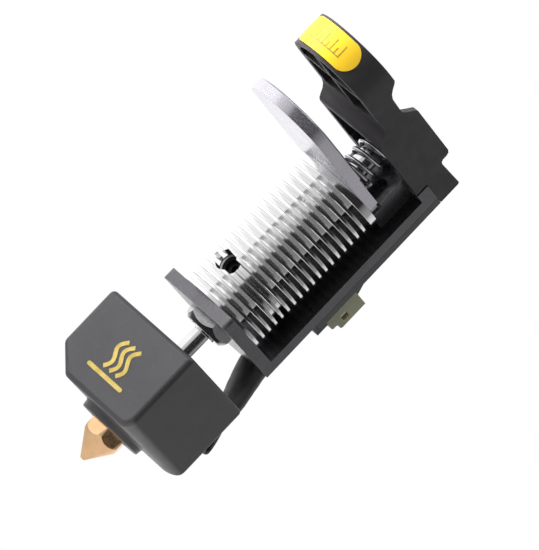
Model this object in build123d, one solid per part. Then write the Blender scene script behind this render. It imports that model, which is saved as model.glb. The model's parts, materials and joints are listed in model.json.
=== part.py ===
from build123d import *
import math
import os

# Quick-swap hotend module, in millimetres: bracket, finned heatsink, latch lever, board,
# and a heater block in a silicone sock.
# Drawn with the nozzle tip at z = 0 and +Z up; the thumb pad is at the front (-Y) and the
# circuit board at the back (+Y). Every part is moved down by TIP_TO_INLET on export, so
# the shared origin is the centre of the filament inlet's mouth.

TIP_TO_INLET = 74.5
SIDES = (-1, 1)

# ---- shared sizes
HALF_WIDTH = 8.1  # bracket, lever and board
FLANGE_BOTTOM, FLANGE_TOP = 30.8, 33.0
BACK_FRONT_Y, BACK_REAR_Y, BACK_TOP = 8.7, 11.0, 71.78

SINK_TOP = 61.7
SET_Z, SET_R, SET_TURN = 39.6, 1.50, -5.0  # grub screw height, radius, turn about the axis

BREAK_R, BREAK_TOP = 2.45, 46.5
TUBE_R = 1.95
THREAD_R, BORE_R = 2.95, 1.0  # heat break and nozzle
NUT_BOTTOM = 28.83

PLATE_TOP, STEP_TOP = 64.0, 63.55  # finger plate, front and rear of its step
TONGUE_REAR_Y = 4.5
PLATE_SCREW_X, PLATE_SCREW_Y = 5.0, -4.2
RIVET_X, RIVET_Y = 1.97, 3.05
SEAT_TOP = STEP_TOP + 0.85

PAD_R, PAD_Y = HALF_WIDTH, -22.8
PAD_BOTTOM, PAD_TOP = 71.9, 78.2
CEILING_Z = 73.2  # underside of the lever's deck
HINGE_Y, HINGE_Z = 4.4, 71.2
PIN_R = 0.80

SOCK_HALF_X, SOCK_FRONT_Y, SOCK_REAR_Y = 10.8, -11.86, 9.12
SOCK_BOTTOM, SOCK_TOP = 7.86, 23.7

BLOCK_X0, BLOCK_X1 = -9.1, 6.6
BLOCK_Y0, BLOCK_Y1 = -10.2, 7.4
BLOCK_Z0, BLOCK_Z1 = 9.6, 22.1
HEATER_Y, HEATER_Z, HEATER_R = -6.6, 14.2, 3.0
THERM_Y, THERM_Z, THERM_R = 5.2, 14.6, 1.5
BLOCK_SCREW_X, BLOCK_SCREW_HOLE_R = 2.0, 1.30

PCB_FRONT_Y, PCB_REAR_Y = BACK_REAR_Y + 0.05, 12.65
PCB_BOTTOM, PCB_TOP = 42.5, BACK_TOP
BOARD_SCREW_X, BOARD_SCREW_Z = 4.9, 60.5

TAP_R, SHANK_R = 0.85, 0.83  # tapped holes and shanks of the plate and board screws

CONN_HALF_X, CONN_BOTTOM, CONN_TOP = 6.5, 45.6, 51.5
CONTACT_COUNT, CONTACT_PITCH, CONTACT_Z = 6, 1.9, 48.3
CONTACT_XS = [(k - (CONTACT_COUNT - 1) / 2) * CONTACT_PITCH for k in range(CONTACT_COUNT)]

# centre line from the board down to the sock's rear corner: x, y, z
SLEEVE_R = 2.55
SLEEVE_PATH = [
    (2.3, 13.9, 40.6), (2.35, 13.9, 36.0), (2.8, 13.8, 31.5),
    (4.6, 12.4, 27.2), (6.5, 10.7, 23.7), (7.4, 9.7, 21.2),
]


# ---- helpers
def box(x0, x1, y0, y1, z0, z1):
    centre = Pos((x0 + x1) / 2, (y0 + y1) / 2, (z0 + z1) / 2)
    return centre * Box(x1 - x0, y1 - y0, z1 - z0)


def mid_box(half_x, y0, y1, z0, z1):
    return box(-half_x, half_x, y0, y1, z0, z1)


def cyl_z(x, y, z0, z1, radius):
    return Pos(x, y, (z0 + z1) / 2) * Cylinder(radius, z1 - z0)


def cyl_x(y, z, x0, x1, radius):
    return Pos((x0 + x1) / 2, y, z) * Rot(0, 90, 0) * Cylinder(radius, x1 - x0)


def cyl_y(x, z, y0, y1, radius):
    return Pos(x, (y0 + y1) / 2, z) * Rot(90, 0, 0) * Cylinder(radius, y1 - y0)


def cone_z(x, y, z0, z1, bottom_r, top_r):
    return Pos(x, y, (z0 + z1) / 2) * Cone(bottom_r, top_r, z1 - z0)


def polygon(points):
    return make_face(Polyline(*points, close=True))


def yz_prism(points, x0, x1):
    """Closed (y, z) outline pushed along +X."""
    plane = Plane(origin=(x0, 0, 0), x_dir=(0, 1, 0), z_dir=(1, 0, 0))
    return extrude(plane * polygon(points), amount=x1 - x0)


def xz_prism(points, y0, y1):
    """Closed (x, z) outline filling y0 to y1."""
    plane = Plane(origin=(0, y1, 0), x_dir=(1, 0, 0), z_dir=(0, -1, 0))
    return extrude(plane * polygon(points), amount=y1 - y0)


def hexagon(corner_r, z0, z1):
    angles = [math.radians(60 * k) for k in range(6)]
    points = [(corner_r * math.cos(a), corner_r * math.sin(a)) for a in angles]
    return extrude(Pos(0, 0, z0) * polygon(points), amount=z1 - z0)


def hex_key(corner_r, reach):
    """Cutter for a screw's hex socket, reaching both ways from its plane."""
    return extrude(RegularPolygon(corner_r, 6), amount=reach, both=True)


def round_nose(radius, nose_y, rear_y, z0, z1):
    return cyl_z(0, nose_y, z0, z1, radius) + mid_box(radius, nose_y, rear_y, z0, z1)


def lower_corner(edge, bottom, radius):
    """Quarter-round points from the bottom up to the edge."""
    angles = [math.radians(90.0 * k / 8) for k in range(9)]
    return [(edge - radius + radius * math.sin(a), bottom + radius - radius * math.cos(a))
            for a in angles]


def rod_along(points, radius):
    path = Spline(*points)
    start = Plane(origin=path @ 0, z_dir=path % 0)
    return sweep(start * Circle(radius), path=path)


def group(shapes):
    return Compound(children=[solid for shape in shapes for solid in shape.solids()])


# ---- bracket and heatsink
def hinge_lug(x0, x1):
    radius, bottom = 1.6, 69.6
    lug = cyl_x(HINGE_Y, HINGE_Z, x0, x1, radius)
    lug += box(x0, x1, HINGE_Y - radius, HINGE_Y + radius, bottom, HINGE_Z)
    return lug + box(x0, x1, HINGE_Y, BACK_FRONT_Y + 0.5, bottom, HINGE_Z)


def bracket():
    head_half_x, head_front_y, head_top = 5.6, 3.6, 70.6
    head_rear_y = BACK_REAR_Y - 0.5
    arch_x, arch_r, arch_z, arch_rear_y = 3.16, 1.27, 66.45, 6.0
    lug_inner_x, lug_outer_x = 3.6, 6.2
    bore_r = BREAK_R + 0.1

    flange = mid_box(HALF_WIDTH, -7.5, BACK_REAR_Y, FLANGE_BOTTOM, FLANGE_TOP)
    flange = fillet([e for e in flange.edges().filter_by(Axis.Z) if e.center().Y < 0], 0.7)
    back = mid_box(HALF_WIDTH, BACK_FRONT_Y, BACK_REAR_Y, FLANGE_BOTTOM, BACK_TOP)
    lip = mid_box(HALF_WIDTH, 6.6, BACK_REAR_Y, 69.3, BACK_TOP)
    head = mid_box(head_half_x, head_front_y, head_rear_y, PLATE_TOP + 0.05, head_top)
    head += mid_box(head_half_x, TONGUE_REAR_Y + 0.2, head_rear_y, SINK_TOP, PLATE_TOP + 0.1)
    # arched recesses that clear the two rivets
    for side in SIDES:
        x = side * arch_x
        head -= box(x - arch_r, x + arch_r, head_front_y - 1, arch_rear_y, 60.5, arch_z)
        head -= cyl_y(x, arch_z, head_front_y - 1, arch_rear_y, arch_r)
    lugs = hinge_lug(-lug_outer_x, -lug_inner_x) + hinge_lug(lug_inner_x, lug_outer_x)
    body = flange + back + lip + head + lugs
    body -= cyl_x(HINGE_Y, HINGE_Z, -10, 10, PIN_R + 0.01)
    body -= cyl_z(0, 0, FLANGE_BOTTOM - 1, FLANGE_TOP + 1, bore_r)
    body -= cone_z(0, 0, FLANGE_TOP - 0.3, FLANGE_TOP + 0.01, bore_r, 2.86)
    # tapped holes for the board screws
    for side in SIDES:
        body -= cyl_y(side * BOARD_SCREW_X, BOARD_SCREW_Z,
                      BACK_FRONT_Y + 0.7, BACK_REAR_Y + 1, TAP_R)
    return body


def heat_sink():
    outer_r, core_r, top_disc = 8.34, 3.96, 1.45
    fin_z, fin_pitch, fin_thick, fin_count = 33.39, 1.5, 0.6, 18
    collar_z0, collar_z1, collar_r = 37.98, 40.77, 6.85
    mouth_r, gap_half_x = 1.90, 2.90

    sink = cyl_z(0, 0, FLANGE_TOP, SINK_TOP, core_r)
    sink += cyl_z(0, 0, FLANGE_TOP, fin_z + fin_thick / 2, outer_r)
    for k in range(1, fin_count):
        z = fin_z + fin_pitch * k
        sink += cyl_z(0, 0, z - fin_thick / 2, z + fin_thick / 2, outer_r)
    sink += cyl_z(0, 0, collar_z0, collar_z1, collar_r)
    sink += cyl_z(0, 0, SINK_TOP - top_disc, SINK_TOP, outer_r)
    # bores for the heat break and the inlet tube
    sink -= cyl_z(0, 0, FLANGE_TOP - 1, BREAK_TOP + 0.1, BREAK_R + 0.05)
    sink -= cyl_z(0, 0, 46.0, SINK_TOP + 1, TUBE_R + 0.05)
    # set-screw hole with a wider mouth; the fin across it is milled away outside the collar
    turn = Rot(0, 0, SET_TURN)
    sink -= turn * cyl_y(0, SET_Z, -12, -1.0, SET_R)
    sink -= turn * cyl_y(0, SET_Z, -12, -collar_r + 1.3, mouth_r)
    sink -= turn * mid_box(gap_half_x, -12, -5, 38.4, 40.4) - cyl_z(0, 0, 38, 41, collar_r)
    # tapped holes for the plate screws
    for side in SIDES:
        sink -= cyl_z(side * PLATE_SCREW_X, PLATE_SCREW_Y, 59.0, SINK_TOP + 1, TAP_R)
    return sink


def set_screw():
    """Grub screw that grips the heat break."""
    outer_y, socket_depth = -4.7, 0.6
    screw = cyl_y(0, SET_Z, outer_y, -BREAK_R - 0.02, SET_R - 0.03)
    screw -= Pos(0, outer_y + socket_depth, SET_Z) * Rot(90, 0, 0) * hex_key(0.87, socket_depth)
    return Rot(0, 0, SET_TURN) * screw


# ---- heat break, nut and inlet tube
def heat_break():
    neck_r, neck_bottom, thread_bottom = 1.55, 22.0, 14.4
    groove_z, groove_pitch, groove_width, groove_floor_r = 15.2, 1.6, 0.35, 2.7
    body = cyl_z(0, 0, NUT_BOTTOM - 0.35, BREAK_TOP, BREAK_R)
    body += cyl_z(0, 0, neck_bottom, NUT_BOTTOM, neck_r)
    body += cyl_z(0, 0, thread_bottom, neck_bottom + 0.05, THREAD_R)
    for k in range(4):
        z = groove_z + groove_pitch * k
        ring = cyl_z(0, 0, z, z + groove_width, 4)
        body -= ring - cyl_z(0, 0, z - 1, z + 2, groove_floor_r)
    body -= cyl_z(0, 0, 10, 50, BORE_R)
    return body - cone_z(0, 0, BREAK_TOP - 0.6, BREAK_TOP + 0.01, BORE_R, 1.6)


def jam_nut():
    across_flats, turn = 8.0, 15.4
    round_r, bevel_bottom_r, bevel_top = 4.75, 3.5, NUT_BOTTOM + 1.35
    corner_r = across_flats / 2 / math.cos(math.radians(30))
    nut = Rot(0, 0, turn) * hexagon(corner_r, NUT_BOTTOM, FLANGE_BOTTOM)
    nut = nut & (cone_z(0, 0, NUT_BOTTOM, bevel_top, bevel_bottom_r, round_r)
                 + cyl_z(0, 0, bevel_top, FLANGE_BOTTOM, round_r))
    return nut - cyl_z(0, 0, 20, 40, BREAK_R + 0.03)


def inlet_tube():
    bore_r = 1.05
    tube = cyl_z(0, 0, BREAK_TOP + 0.1, TIP_TO_INLET, TUBE_R)
    tube = chamfer(tube.edges().group_by(Axis.Z)[-1], 0.3)
    return tube - cyl_z(0, 0, 40, 80, bore_r)


# ---- finger plate and its fixings
def finger_plate():
    nose_r, nose_y, step_y, end_y = 8.0, -22.9, -8.6, -0.2
    tongue_half_x, hole_r = 5.2, 1.05
    plate = round_nose(nose_r, nose_y, step_y, SINK_TOP, PLATE_TOP)
    plate += mid_box(nose_r - 0.15, step_y, end_y, SINK_TOP, STEP_TOP)
    flat_edges = plate.edges().filter_by(Plane.XY)
    plate = chamfer(
        flat_edges.filter_by(lambda e: e.center().Z > PLATE_TOP - 0.01 and e.center().Y < -9),
        0.25)
    plate += mid_box(tongue_half_x, end_y - 0.5, TONGUE_REAR_Y, SINK_TOP, STEP_TOP)
    plate -= cyl_z(0, 0, 55, 70, TUBE_R + 0.08)
    for side in SIDES:
        x = side * PLATE_SCREW_X
        plate -= cyl_z(x, PLATE_SCREW_Y, 55, 70, hole_r)
        plate -= cone_z(x, PLATE_SCREW_Y, STEP_TOP - 1.0, STEP_TOP + 0.01, hole_r, 2.06)
        plate -= cyl_z(side * RIVET_X, RIVET_Y, 55, 70, 0.42)
    return plate


def plate_screws():
    screws = []
    for side in SIDES:
        x = side * PLATE_SCREW_X
        screw = cyl_z(x, PLATE_SCREW_Y, 60.4, STEP_TOP - 0.9, SHANK_R)
        screw += cone_z(x, PLATE_SCREW_Y, STEP_TOP - 1.0, STEP_TOP - 0.05, 1.0, 1.92)
        screw -= Pos(x, PLATE_SCREW_Y, STEP_TOP - 0.3) * hex_key(0.75, 0.5)
        screws.append(screw)
    return group(screws)


def plate_rivets():
    shank_r, head_r, head_top = 0.40, 0.44, 65.7
    rivets = []
    for side in SIDES:
        x = side * RIVET_X
        rivet = cyl_z(x, RIVET_Y, SINK_TOP + 0.02, STEP_TOP + 0.3, shank_r)
        rivet += cyl_z(x, RIVET_Y, STEP_TOP, head_top, head_r)
        rivets.append(rivet)
    return group(rivets)


# ---- spring
def spring_seat():
    seat = cyl_z(0, 0, STEP_TOP, SEAT_TOP, 3.3) - cyl_z(0, 0, 60, 70, TUBE_R + 0.08)
    # clear the rivet heads
    for side in SIDES:
        seat -= cyl_z(side * RIVET_X, RIVET_Y, 60, 70, 0.6)
    return seat


def latch_spring():
    coil_r, wire_r, turns = 2.75, 0.35, 5.6
    bottom = SEAT_TOP + wire_r
    height = CEILING_Z - wire_r - bottom
    helix = Helix(pitch=height / turns, height=height, radius=coil_r, center=(0, 0, bottom))
    start = Plane(origin=helix @ 0, z_dir=helix % 0)
    return sweep(start * Circle(wire_r), path=helix, is_frenet=True)


# ---- latch lever
# side outline: y, z
LEVER_SIDE = [
    (PAD_Y, PAD_TOP), (-20.6, PAD_TOP), (-20.0, 77.85), (-19.3, 77.1), (-18.5, 76.45),
    (-17.4, 76.08), (-13.3, 75.95), (-12.6, 76.25), (-12.0, 76.75), (-10.6, 78.05),
    (-10.1, PAD_TOP), (3.6, PAD_TOP), (4.25, 77.95), (4.5, 77.4), (4.5, 76.5), (4.75, 76.1),
    (5.3, 75.95), (12.3, 76.3), (12.6, 76.0), (12.6, 71.85), (6.1, 71.85), (6.1, 69.4),
    (-9.6, 69.4), (-10.3, 69.65), (-10.9, 70.3), (-11.5, 71.05), (-12.3, 71.6),
    (-13.4, PAD_BOTTOM), (PAD_Y, PAD_BOTTOM),
]


def latch_lever():
    deck_top, slot_r, slot_shift = 75.2, 2.45, 0.7
    dish_r, dish_depth = 30.0, 1.1
    pocket_wall, pocket_depth, rib_half = 1.2, 2.4, 0.5

    lever = yz_prism(LEVER_SIDE, -HALF_WIDTH, HALF_WIDTH)
    lever += cyl_z(0, PAD_Y, PAD_BOTTOM, PAD_TOP, PAD_R)
    # open well between the cheeks, above the deck
    lever -= mid_box(7.1, -18.2, 4.0, deck_top, 80)
    # shallow thumb dish in the top of the pad
    lever -= Pos(0, PAD_Y + 1.2, PAD_TOP + dish_r - dish_depth) * Sphere(dish_r)
    # open box below, for the spring and the bracket head
    lever -= mid_box(7.0, -8.7, 1.5, 60, CEILING_Z)
    lever -= mid_box(6.4, 1.4, 6.35, 60, CEILING_Z)
    # running slot for the inlet tube
    lever -= (cyl_z(0, 0, 70, 80, slot_r) + cyl_z(0, slot_shift, 70, 80, slot_r)
              + mid_box(slot_r, 0, slot_shift, 70, 80))
    # pockets under the pad, split by a cross of ribs
    pocket = round_nose(PAD_R - pocket_wall, PAD_Y, -13.6,
                        PAD_BOTTOM - 1, PAD_BOTTOM + pocket_depth)
    pocket -= mid_box(rib_half, -40, 0, 60, 80)
    pocket -= mid_box(10, PAD_Y - rib_half, PAD_Y + rib_half, 60, 80)
    lever -= pocket
    # blind sockets that run on the hinge pin
    return lever - cyl_x(HINGE_Y, HINGE_Z, -7.4, 7.4, PIN_R + 0.05)


def hinge_pin():
    pin = cyl_x(HINGE_Y, HINGE_Z, -7.25, 7.25, PIN_R)
    return chamfer(pin.edges(), 0.12)


def lever_label():
    """Curved label on the front of the pad's rim, with elliptical ends."""
    half_x, mid_z, half_z = 4.4, 75.1, 2.65
    ring = cyl_z(0, PAD_Y, 72.3, 77.9, PAD_R + 0.16) - cyl_z(0, PAD_Y, 70, 80, PAD_R + 0.01)
    shape = mid_box(half_x, -33, PAD_Y, mid_z - half_z, mid_z + half_z)
    for side in SIDES:
        plane = Plane(origin=(side * half_x, PAD_Y, mid_z), x_dir=(1, 0, 0), z_dir=(0, -1, 0))
        shape += extrude(plane * Ellipse(1.8, half_z), amount=11)
    return ring & shape


# ---- cable sleeve and leads
def cable_sleeve():
    return rod_along(SLEEVE_PATH, SLEEVE_R) - rod_along(SLEEVE_PATH, SLEEVE_R - 0.5)


# x and y offset inside the sleeve, then the x, y, z points past its lower end
HEATER_LEADS = [
    (0.75, 0.1, [(8.05, 7.2, 19.3), (7.95, 3.5, 17.2), (7.9, -2.5, 15.8), (7.75, -5.6, 15.0)]),
    (-0.65, 0.1, [(6.95, 8.3, 19.6), (7.3, 6.7, 17.9), (7.75, 3.0, 15.4), (7.9, -3.0, 13.6),
                  (7.75, -6.6, 13.0)]),
]
SENSOR_LEADS = [
    (0.05, -1.2, [(7.05, 6.7, 19.6), (7.0, 5.4, 17.9)]),
    (0.05, 1.3, [(8.5, 8.6, 19.3), (8.75, 7.0, 17.2), (8.75, 6.3, 15.0)]),
]


def leads(table, radius):
    return group([rod_along([(x + dx, y + dy, z) for x, y, z in SLEEVE_PATH] + tail, radius)
                  for dx, dy, tail in table])


def heater_leads():
    return leads(HEATER_LEADS, 0.55)


def sensor_leads():
    return leads(SENSOR_LEADS, 0.32)


# ---- silicone sock
# pull tab outline: y, z
TAB_SIDE = [(8.4, 20.6), (9.3, 20.3), (11.2, 16.6), (11.3, 15.4), (10.6, 14.6), (9.6, 14.6),
            (8.4, 15.6)]


def silicone_sock():
    boss_bottom, boss_r, gap = 6.49, 6.0, 0.1
    front = [(-SOCK_HALF_X, SOCK_TOP), (-SOCK_HALF_X, 12.0), (-5.9, SOCK_BOTTOM)]
    front += lower_corner(SOCK_HALF_X, SOCK_BOTTOM, 2.3) + [(SOCK_HALF_X, SOCK_TOP)]
    sock = xz_prism(front, SOCK_FRONT_Y, SOCK_REAR_Y)
    plan = RectangleRounded(2 * SOCK_HALF_X, SOCK_REAR_Y - SOCK_FRONT_Y, 1.0)
    mid_y = (SOCK_FRONT_Y + SOCK_REAR_Y) / 2
    sock = sock & extrude(Pos(0, mid_y, SOCK_BOTTOM - 1) * plan,
                          amount=SOCK_TOP - SOCK_BOTTOM + 2)
    profile = [(SOCK_FRONT_Y, SOCK_TOP), (SOCK_FRONT_Y, SOCK_BOTTOM)]
    profile += lower_corner(SOCK_REAR_Y, SOCK_BOTTOM, 3.0) + [(SOCK_REAR_Y, SOCK_TOP)]
    sock = sock & yz_prism(profile, -SOCK_HALF_X - 1, SOCK_HALF_X + 1)
    sock += cone_z(0, 0, boss_bottom, SOCK_BOTTOM + 0.2, boss_r - 0.15, boss_r + 0.15)
    sock += yz_prism(TAB_SIDE, 8.7, 9.9)
    # cavity round the heater block, with room for the leads at +X
    left, right = BLOCK_X0 - gap, 9.2
    bottom, top = BLOCK_Z0 - gap, BLOCK_Z1 + gap
    cavity = [(left, top), (left, 12.4), (-5.8, bottom), (right, bottom), (right, top)]
    sock -= xz_prism(cavity, BLOCK_Y0 - gap, BLOCK_Y1 + gap)
    # heat break, nozzle and sleeve openings
    sock -= cyl_z(0, 0, 20, 30, 2.0)
    sock -= cyl_z(0, 0, 0, 10, 4.0)
    sock -= rod_along(SLEEVE_PATH, SLEEVE_R + 0.08)
    # lead passages
    sock -= box(5.8, right, 7.0, 11.8, 18.5, 21.9)
    return sock - box(5.8, right, 7.0, 8.5, 16.0, 19.0)


def heat_mark():
    """Raised mark on the sock's front face: three wavy strokes over a round-ended bar."""
    y0, y1 = SOCK_FRONT_Y - 0.06, SOCK_FRONT_Y
    bar_x0, bar_x1, bar_z, bar_half = -3.65, 4.6, 12.0, 0.38
    wave_top, wave_height, wave_half, steps = 18.75, 5.55, 0.39, 28
    swing, cycles, lean = 0.72, 1.02, 0.6

    bar = box(bar_x0, bar_x1, y0, y1, bar_z - bar_half, bar_z + bar_half)
    bar += cyl_y(bar_x0, bar_z, y0, y1, bar_half) + cyl_y(bar_x1, bar_z, y0, y1, bar_half)
    marks = [bar]
    for wave_x in (-1.23, 0.39, 2.0):
        one_edge, other_edge = [], []
        for k in range(steps + 1):
            t = k / steps
            phase = 2 * math.pi * (t * cycles - 0.02)
            x = wave_x - swing * math.sin(phase) + lean * (1 - t) ** 2
            z = wave_top - t * wave_height
            # offset square to the stroke's direction
            dx = -swing * math.cos(phase) * 2 * math.pi * cycles - 2 * lean * (1 - t)
            scale = wave_half / math.hypot(dx, wave_height)
            off_x, off_z = wave_height * scale, dx * scale
            one_edge.append((x - off_x, z - off_z))
            other_edge.append((x + off_x, z + off_z))
        marks.append(xz_prism(one_edge + other_edge[::-1], y0, y1))
    return group(marks)


# ---- heater block, inserts and nozzle
def heater_block():
    block = box(BLOCK_X0, BLOCK_X1, BLOCK_Y0, BLOCK_Y1, BLOCK_Z0, BLOCK_Z1)
    block = chamfer(block.edges().filter_by(Axis.Z), 0.6)
    # sloped lower edge at -X
    slope = [(-12, 15.1), (-12, 5), (-5.6, 5), (-5.6, 9.55), (BLOCK_X0, 12.6)]
    block -= xz_prism(slope, -20, 20)
    block -= cyl_z(0, 0, 5, 30, THREAD_R + 0.05)
    block -= cyl_x(HEATER_Y, HEATER_Z, -7.5, BLOCK_X1 + 1, HEATER_R + 0.05)
    block -= cyl_x(THERM_Y, THERM_Z, -3.5, BLOCK_X1 + 1, THERM_R + 0.05)
    for y, z in ((HEATER_Y, HEATER_Z), (THERM_Y, THERM_Z)):
        block -= cyl_z(BLOCK_SCREW_X, y, BLOCK_Z0 - 1, z, BLOCK_SCREW_HOLE_R)
    return block


def heater_cartridge():
    heater = cyl_x(HEATER_Y, HEATER_Z, -7.4, BLOCK_X1 - 0.4, HEATER_R)
    return chamfer(heater.edges(), 0.25)


def thermistor():
    sensor = cyl_x(THERM_Y, THERM_Z, -3.3, BLOCK_X1 - 0.3, THERM_R)
    return chamfer(sensor.edges(), 0.2)


def block_screws():
    bottom, screws = BLOCK_Z0 + 0.1, []
    for y, z, radius in ((HEATER_Y, HEATER_Z, HEATER_R), (THERM_Y, THERM_Z, THERM_R)):
        top = z - radius - 0.03
        screw = cyl_z(BLOCK_SCREW_X, y, bottom, top, BLOCK_SCREW_HOLE_R - 0.03)
        screw -= Pos(BLOCK_SCREW_X, y, bottom) * hex_key(0.75, 0.5)
        screws.append(screw)
    return group(screws)


def nozzle():
    hex_r, hex_top, tip_r, cone_top, orifice_r = 3.77, 8.1, 0.375, 4.85, 0.2
    body = hexagon(hex_r, 0, hex_top)
    body = body & (cone_z(0, 0, 0, cone_top, tip_r, hex_r)
                   + cyl_z(0, 0, cone_top, hex_top, hex_r + 0.1))
    body += cyl_z(0, 0, hex_top - 0.1, BLOCK_Z0, 2.6)
    body += cyl_z(0, 0, BLOCK_Z0, 14.3, THREAD_R)
    body -= cyl_z(0, 0, 1.3, 20, BORE_R)
    body -= cone_z(0, 0, 0.6, 1.3, orifice_r, BORE_R)
    return body - cyl_z(0, 0, -1, 1.0, orifice_r)


# ---- board and connector
def circuit_board():
    board = mid_box(HALF_WIDTH, PCB_FRONT_Y, PCB_REAR_Y, PCB_BOTTOM, PCB_TOP)
    for side in SIDES:
        board -= cyl_y(side * BOARD_SCREW_X, BOARD_SCREW_Z, 5, 20, 1.1)
    return board


def board_screws():
    head_y, screws = PCB_REAR_Y + 1.2, []
    for side in SIDES:
        x, z = side * BOARD_SCREW_X, BOARD_SCREW_Z
        screw = cyl_y(x, z, BACK_FRONT_Y + 0.9, PCB_REAR_Y + 0.1, SHANK_R)
        head = cyl_y(x, z, PCB_REAR_Y, head_y, 1.75)
        screw += chamfer(head.edges().group_by(Axis.Y)[-1], 0.4)
        screw -= Pos(x, head_y, z) * Rot(90, 0, 0) * hex_key(0.75, 0.7)
        screws.append(screw)
    return group(screws)


def board_foot():
    foot = mid_box(HALF_WIDTH, BACK_REAR_Y, 13.3, 41.7, 44.25)
    foot -= mid_box(20, BACK_REAR_Y, PCB_REAR_Y + 0.03, PCB_BOTTOM - 0.03, 50)
    return foot - cyl_z(2.32, 13.9, 30, 60, SLEEVE_R + 0.06)


def connector_base():
    top = 53.6
    side = [(PCB_REAR_Y, top), (14.9, top), (15.9, CONN_TOP), (PCB_REAR_Y, CONN_TOP)]
    return yz_prism(side, -CONN_HALF_X, CONN_HALF_X)


def connector_shroud():
    slot_half = 0.32
    shroud = mid_box(CONN_HALF_X, PCB_REAR_Y, 19.2, CONN_BOTTOM, CONN_TOP - 0.02)
    shroud += mid_box(CONN_HALF_X, PCB_REAR_Y, 17.6, 44.35, CONN_BOTTOM + 0.1)
    shroud = fillet([e for e in shroud.edges().filter_by(Axis.X)
                     if e.center().Y > 17 and e.center().Z < 46], 0.5)
    shroud -= mid_box(CONN_HALF_X - 1.0, 14.4, 25, CONN_BOTTOM + 0.9, CONN_TOP - 0.9)
    for side in SIDES:
        shroud -= Pos(side * (CONN_HALF_X - 0.5), 17.4, 47.5) * Box(1.6, 1.5, 1.3)
    for x in CONTACT_XS:
        shroud -= box(x - slot_half, x + slot_half, 10, 15, CONTACT_Z - 0.3, CONTACT_Z + 0.3)
    return shroud


def connector_contacts():
    pins = [box(x - 0.3, x + 0.3, PCB_REAR_Y + 0.01, 18.2, CONTACT_Z - 0.28, CONTACT_Z + 0.28)
            for x in CONTACT_XS]
    pins += [box(side * 5.3 - 0.12, side * 5.3 + 0.12, 16.7, 18.1, 46.9, 47.9)
             for side in SIDES]
    return group(pins)


# ---- export: each file is named after its function
os.makedirs("parts", exist_ok=True)
for build in (
    bracket, heat_sink, set_screw, heat_break, jam_nut, inlet_tube,
    finger_plate, plate_screws, plate_rivets, spring_seat, latch_spring,
    latch_lever, hinge_pin, lever_label, cable_sleeve, heater_leads, sensor_leads,
    silicone_sock, heat_mark, heater_block, heater_cartridge, thermistor, block_screws,
    nozzle, circuit_board, board_screws, board_foot,
    connector_base, connector_shroud, connector_contacts,
):
    part = Pos(0, 0, -TIP_TO_INLET) * build()
    part.label = build.__name__
    export_step(part, os.path.join("parts", part.label + ".step"))
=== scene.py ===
"""Printer hotend with a finned heatsink, a silicone-covered heater block and a latch lever.

The axis of the nozzle and heatsink is vertical, on x = y = 0, with the front towards -Y.
Shapes are given in millimetres with z measured up from the nozzle tip; place() moves them to
the frame, which is in metres with its origin at the inlet mouth.
"""
import bpy
import bmesh
import json
import math
from mathutils import Matrix, Vector


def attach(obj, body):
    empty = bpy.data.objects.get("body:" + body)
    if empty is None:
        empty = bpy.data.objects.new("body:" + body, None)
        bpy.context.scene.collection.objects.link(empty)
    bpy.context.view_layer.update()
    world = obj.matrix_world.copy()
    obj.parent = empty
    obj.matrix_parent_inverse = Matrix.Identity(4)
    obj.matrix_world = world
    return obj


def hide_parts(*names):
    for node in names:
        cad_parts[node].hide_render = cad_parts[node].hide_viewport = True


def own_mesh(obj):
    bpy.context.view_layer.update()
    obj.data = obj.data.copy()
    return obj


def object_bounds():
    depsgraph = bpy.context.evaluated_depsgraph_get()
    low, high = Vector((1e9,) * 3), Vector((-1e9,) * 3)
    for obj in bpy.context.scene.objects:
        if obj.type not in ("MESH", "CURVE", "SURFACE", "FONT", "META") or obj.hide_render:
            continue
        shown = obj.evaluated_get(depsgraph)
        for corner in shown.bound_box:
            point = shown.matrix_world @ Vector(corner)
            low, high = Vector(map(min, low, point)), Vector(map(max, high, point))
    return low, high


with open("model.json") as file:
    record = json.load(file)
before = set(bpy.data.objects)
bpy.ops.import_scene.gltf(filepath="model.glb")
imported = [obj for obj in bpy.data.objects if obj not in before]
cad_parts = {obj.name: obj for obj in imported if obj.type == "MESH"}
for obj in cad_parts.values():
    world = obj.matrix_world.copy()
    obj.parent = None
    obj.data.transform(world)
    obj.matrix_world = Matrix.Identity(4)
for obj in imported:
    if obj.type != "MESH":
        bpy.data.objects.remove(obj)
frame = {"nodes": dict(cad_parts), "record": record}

CAD_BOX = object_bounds()
NODES = frame["nodes"]
SLOT = {part["node"]: part["material_slot"] for part in frame["record"]["subparts"]}
HOT, LEVER = "hotend", "lever"          # the two bodies that pieces ride on
MM = 0.001
INLET_Z = 74.5                          # nozzle tip to inlet mouth

# Heatsink
FIN_RADIUS, COLLAR_RADIUS, CORE_RADIUS = 8.34, 6.85, 3.96
SINK_BOTTOM, SINK_TOP = 33.0, 61.7
SINK_END_RADIUS = 2.0                   # innermost ring of each end face
FIN_Z, FIN_PITCH, FIN_HALF = 33.39, 1.5, 0.3    # middle of the lowest fin, spacing, half thickness
FIN_CHAMFER = 0.07
HOLE_Z = 39.6                           # cross hole for the set screw
HOLE_TURN = math.radians(-5.0)          # turn of the hole about the axis, from the Y direction
HOLE_RADIUS, MOUTH_RADIUS = 1.5, 1.9

# Lever label, a film on the curved front of the lever
LEVER_RADIUS, LEVER_AXIS_Y = 8.1, -22.8
LABEL_RADIUS = LEVER_RADIUS + 0.15      # outer face of the film
LABEL_Z = 75.1
LABEL_HALF_HEIGHT, LABEL_FLAT, LABEL_END = 2.65, 4.4, 1.8   # half height, half flat, end length


def level(z):
    """Height above the nozzle tip in mm, as frame z in metres."""
    return (z - INLET_Z) * MM


def place(x, y, z):
    """Millimetres from the nozzle tip, as a point of the frame in metres."""
    return Vector((x * MM, y * MM, level(z)))


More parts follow.
